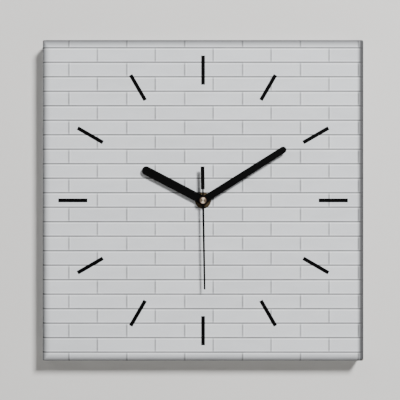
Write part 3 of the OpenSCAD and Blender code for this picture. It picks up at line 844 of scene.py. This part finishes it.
def rubber(place):
    dust = place.noise(500, 4)
    return {
        "Base Color": dust.colours((0.3, (0.018, 0.018, 0.018)), (0.7, (0.045, 0.045, 0.045))),
        "Roughness": dust * 0.2 + 0.65,
        "Height": dust,
    }


shade_darkened_brass = finish("shade_darkened_brass", brass, 0.00002, {"Metallic": 1.0})
black_rubber = finish("black_rubber", rubber, 0.00005)
fit(eased_copy("hex_nut", "nut_hexagon", 0.35 * MM), shade_darkened_brass, "frame", "brass", "hex_nut")
fit(eased_copy("brass_washer", "washer_brass", 0.12 * MM), shade_darkened_brass, "frame", "brass",
    "brass_washer")
dress(shade_darkened_brass, "threaded_bushing", "minute_nut", "minute_arbor", "second_wheel")
dress(black_rubber, "rubber_washer")


# ---- Battery and contacts ----
# One AA cell: a steel can in a printed plastic sleeve, with a domed terminal. Folded
# strips of nickelled spring steel press on its two ends.


def turned(name, profile, centre, rotation):
    """A turned piece: rings of the given radius and height along its axis, closed at
    both ends."""
    radius, height = profile[0]
    piece = begin(name, "circle", vertices=64, radius=radius, fill_type="NGON",
                  location=(0, 0, height))
    bpy.ops.mesh.select_all(action="SELECT")
    for wide, high in profile[1:]:
        bpy.ops.mesh.extrude_region_move(
            TRANSFORM_OT_translate={"value": (0, 0, high - height)}
        )
        grow = wide / radius
        bpy.ops.transform.resize(value=(grow, grow, 1), center_override=(0, 0, high))
        radius, height = wide, high
    bpy.ops.mesh.select_all(action="SELECT")
    bpy.ops.mesh.normals_make_consistent(inside=False)
    bpy.ops.object.mode_set(mode="OBJECT")
    piece.location, piece.rotation_euler = centre, rotation
    bpy.ops.object.transform_apply(location=True, rotation=True, scale=True)
    bpy.ops.object.shade_smooth_by_angle(angle=SHARP)
    return piece


CELL_R = 7.15 * MM
BAND_AT, STRIPE_AT = 11 * MM, 10.4 * MM
PLUS_AT, MINUS_AT = 18 * MM, -19 * MM

cell_low, cell_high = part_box("battery")
cell_profile = [
    (4.6, 0.35), (4.9, 0.05), (6.2, 0.0), (6.45, 0.15), (6.5, 0.4), (6.75, 0.45),
    (7.05, 0.25), (7.15, 0.6), (7.15, 48.9), (7.05, 49.2), (6.6, 49.3), (6.45, 49.1),
    (6.3, 48.9), (3.3, 48.9), (3.0, 49.2), (2.75, 49.35), (2.75, 50.1), (2.5, 50.4), (2.0, 50.5),
]
cell = turned(
    "battery_cell", [(r * MM, h * MM) for r, h in cell_profile],
    (cell_low.x, (cell_low.y + cell_high.y) / 2, (cell_low.z + cell_high.z) / 2),
    (0, math.radians(90), 0),
)


def stroke(along, across):
    """A short printed stroke."""
    return abs(along).rise(1.75 * MM, 1.65 * MM) * abs(across).rise(0.4 * MM, 0.3 * MM)


def sleeve(place):
    x, y, z = place.xyz()
    out = y - (cell_low.y + cell_high.y) / 2
    up = z - (cell_low.z + cell_high.z) / 2
    radius = (out * out + up * up).math("SQRT")
    wrap = radius.rise(6.7 * MM, 6.8 * MM)
    band = x.rise(BAND_AT, BAND_AT + 0.15 * MM)
    cream = abs(x - STRIPE_AT).rise(0.75 * MM, 0.6 * MM)
    scuff = place.noise(120, 4, 0.6)
    label = band.between((0.020, 0.055, 0.105, 1), (0.55, 0.53, 0.49, 1))
    label = cream.between(label, (0.75, 0.73, 0.66, 1))
    # A plain plus and minus at the ends tell which way the cell goes in.
    back = y.rise(cell_low.y + CELL_R, cell_low.y + CELL_R + 0.1 * MM)
    plus = stroke(x - PLUS_AT, up).math("MAXIMUM", stroke(up, x - PLUS_AT))
    minus = stroke(x - MINUS_AT, up)
    label = (plus * back).between(label, (0.04, 0.04, 0.05, 1))
    label = (minus * back).between(label, (0.8, 0.79, 0.75, 1))
    tin = scuff.colours((0.3, (0.50, 0.50, 0.50)), (0.7, (0.66, 0.66, 0.65)))
    return {
        "Base Color": wrap.between(tin, label),
        "Metallic": 1 - wrap * (1 - band * 0.55),
        "Roughness": scuff * 0.12 + 0.2 + wrap * 0.06,
        "Height": scuff,
    }


fit(cell, finish("cell_sleeve", sleeve, 0.00002), "battery", "battery_sleeve", "battery")
dress(finish("nickelled_spring", steel, 0.00002, {"Metallic": 1.0}),
      "contact_positive", "contact_negative")


# ---- Circuit ----
# A small green board with the clock chip under a blob of black epoxy and a quartz
# crystal in a steel can.


def board_lacquer(place):
    track = place.node("TexVoronoi", {"feature": "DISTANCE_TO_EDGE"},
                       {"Vector": place, "Scale": 420.0})
    return {
        "Base Color": track.rise(0.05, 0.12).between(
            (0.03, 0.16, 0.06, 1), (0.01, 0.07, 0.03, 1)
        ),
        "Roughness": place.noise(300, 3) * 0.2 + 0.25,
        "Height": track,
    }


dress(finish("board_lacquer", board_lacquer, 0.00003), "circuit_board")
dress(finish("epoxy_blob", moulded((0.02, 0.02, 0.022)), 0.00005), "clock_chip")
dress(bright_steel, "quartz_crystal")


# ---- Coil and stepping motor ----
# Enamelled copper wire on a nylon bobbin over a soft iron core, a stator plate between
# the core's ends, and a disc magnet on the rotor.

WIRE_PITCH = 0.16 * MM


def wound_copper(place):
    x, _, _ = place.xyz()
    wind = (x * (math.tau / WIRE_PITCH)).math("SINE")
    tint = place.noise(220, 3)
    return {
        "Base Color": (wind * 0.2 + tint).colours(
            (0.3, (0.42, 0.13, 0.05)), (0.7, (0.72, 0.30, 0.13))
        ),
        "Roughness": tint * 0.15 + 0.25,
        "Height": wind,
    }


def soft_iron(place):
    bloom = place.noise(260, 4, 0.65)
    return {
        "Base Color": bloom.colours((0.3, (0.30, 0.30, 0.31)), (0.7, (0.48, 0.48, 0.49))),
        "Roughness": bloom * 0.25 + 0.3,
        "Height": bloom,
    }


dress(finish("wound_copper", wound_copper, 0.00005, {"Metallic": 0.8}), "coil_winding")
iron = finish("soft_iron", soft_iron, 0.00003, {"Metallic": 1.0})
dress(iron, "coil_core", "stator")
dress(finish("sintered_magnet", moulded((0.05, 0.05, 0.053)), 0.00004), "rotor_magnet")


# ---- Gear train ----
# Wheels, pinions and tubes moulded in natural nylon, turning between the front wall, the
# bridge and the cover.


def nylon(place):
    flow = place.noise(90, 3, 0.6, 0.5)
    return {
        "Base Color": flow.colours((0.3, (0.72, 0.70, 0.62)), (0.7, (0.86, 0.85, 0.78))),
        "Roughness": flow * 0.15 + 0.35,
        "Height": place.noise(1800, 2),
    }


natural_nylon = finish("natural_nylon", nylon, 0.00002, {"Subsurface Weight": 0.15,
                                                         "Subsurface Scale": 0.002})
dress(natural_nylon, "gear_bridge", "coil_bobbin", "rotor_pinion", "intermediate_wheel",
      "third_wheel", "centre_wheel", "minute_wheel", "hour_wheel", "setting_pinion")
dress(bright_steel, "clutch_washer")


# ---- Setting knob ----
# A fluted knob of the same black plastic, on the end of the setting pinion, to turn the
# hands from behind.

fit(eased_copy("setting_knob", "knob_fluted", 0.12 * MM), black_abs, "setting_knob",
    "black_plastic", "setting_knob")


# ---- Hands ----
# Stamped aluminium, painted matt black: two round-ended hands pressed on their tubes,
# and a thin second hand with a counterweight on a narrow neck.


def matt_paint(place):
    speck = place.noise(2200, 3, 0.6)
    sheen = place.noise(60, 2)
    return {
        "Base Color": speck.colours(
            (0.3, (0.0004, 0.0004, 0.0005)), (0.7, (0.0011, 0.0011, 0.0012))
        ),
        "Roughness": sheen * 0.12 + speck * 0.1 + 0.5,
        "Height": speck,
    }


hand_black = finish("matt_black_paint", matt_paint, 0.00002, {"Specular IOR Level": 0.04})
for node, name in (("hour_hand", "hand_hours"), ("minute_hand", "hand_minutes"),
                   ("second_hand", "hand_seconds")):
    fit(eased_copy(node, name, 0.1 * MM), hand_black, node, "hand_paint", node)


# ---- Cap ----
# A small brass cap pressed on the second hand and faced on a lathe, so that fine rings
# show. Two dark fans of painted reflection are darkened into its colour.

RING_PITCH = 0.22 * MM
cap_low, cap_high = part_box("second_cap")
cap_centre = (cap_low + cap_high) / 2
cap_profile = [
    (0.9, 0.0), (0.9, 0.85), (3.1, 0.85), (3.3, 1.05), (3.3, 1.75), (3.05, 2.02), (2.75, 2.05),
    (2.6, 1.97), (2.45, 2.05), (1.9, 2.05), (1.78, 1.99), (1.66, 2.05), (0.9, 2.05),
    (0.78, 1.99), (0.66, 2.05), (0.2, 2.05),
]
cap = turned(
    "cap_turned", [(r * MM, h * MM) for r, h in cap_profile],
    (cap_centre.x, cap_high.y, cap_centre.z), (math.radians(90), 0, 0),
)


def turned_brass(place):
    x, _, z = place.xyz()
    across, up = x - cap_centre.x, z - cap_centre.z
    radius = (across * across + up * up).math("SQRT")
    rings = (radius * (math.tau / RING_PITCH)).math("SINE")
    angle = across.math("ARCTAN2", up)
    # Painted reflection: the colour darkens in two fans, to the left and right of the centre.
    painted_reflection_fan = (angle * 2).math("COSINE")
    depth = radius.rise(0.2 * MM, 0.6 * MM) * radius.rise(2.9 * MM, 2.5 * MM)
    shade = (0 - painted_reflection_fan).rise(-0.75, 0.2) * depth * 0.88
    bright = rings.colours((0.3, (0.50, 0.40, 0.29)), (0.7, (0.64, 0.53, 0.40)))
    rim = radius.rise(2.5 * MM, 2.8 * MM)
    tone = shade.between(bright, (0.035, 0.020, 0.008, 1))
    return {
        "Base Color": rim.between(tone, (0.05, 0.022, 0.012, 1)),
        "Roughness": 0.42 + rings * 0.04,
        "Height": rings,
    }


fit(cap, finish("turned_brass", turned_brass, 0.000004, {"Metallic": 0.35}), "second_hand",
    "brass", "second_cap")


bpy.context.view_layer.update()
2 * cloth_half
2 * cloth_half
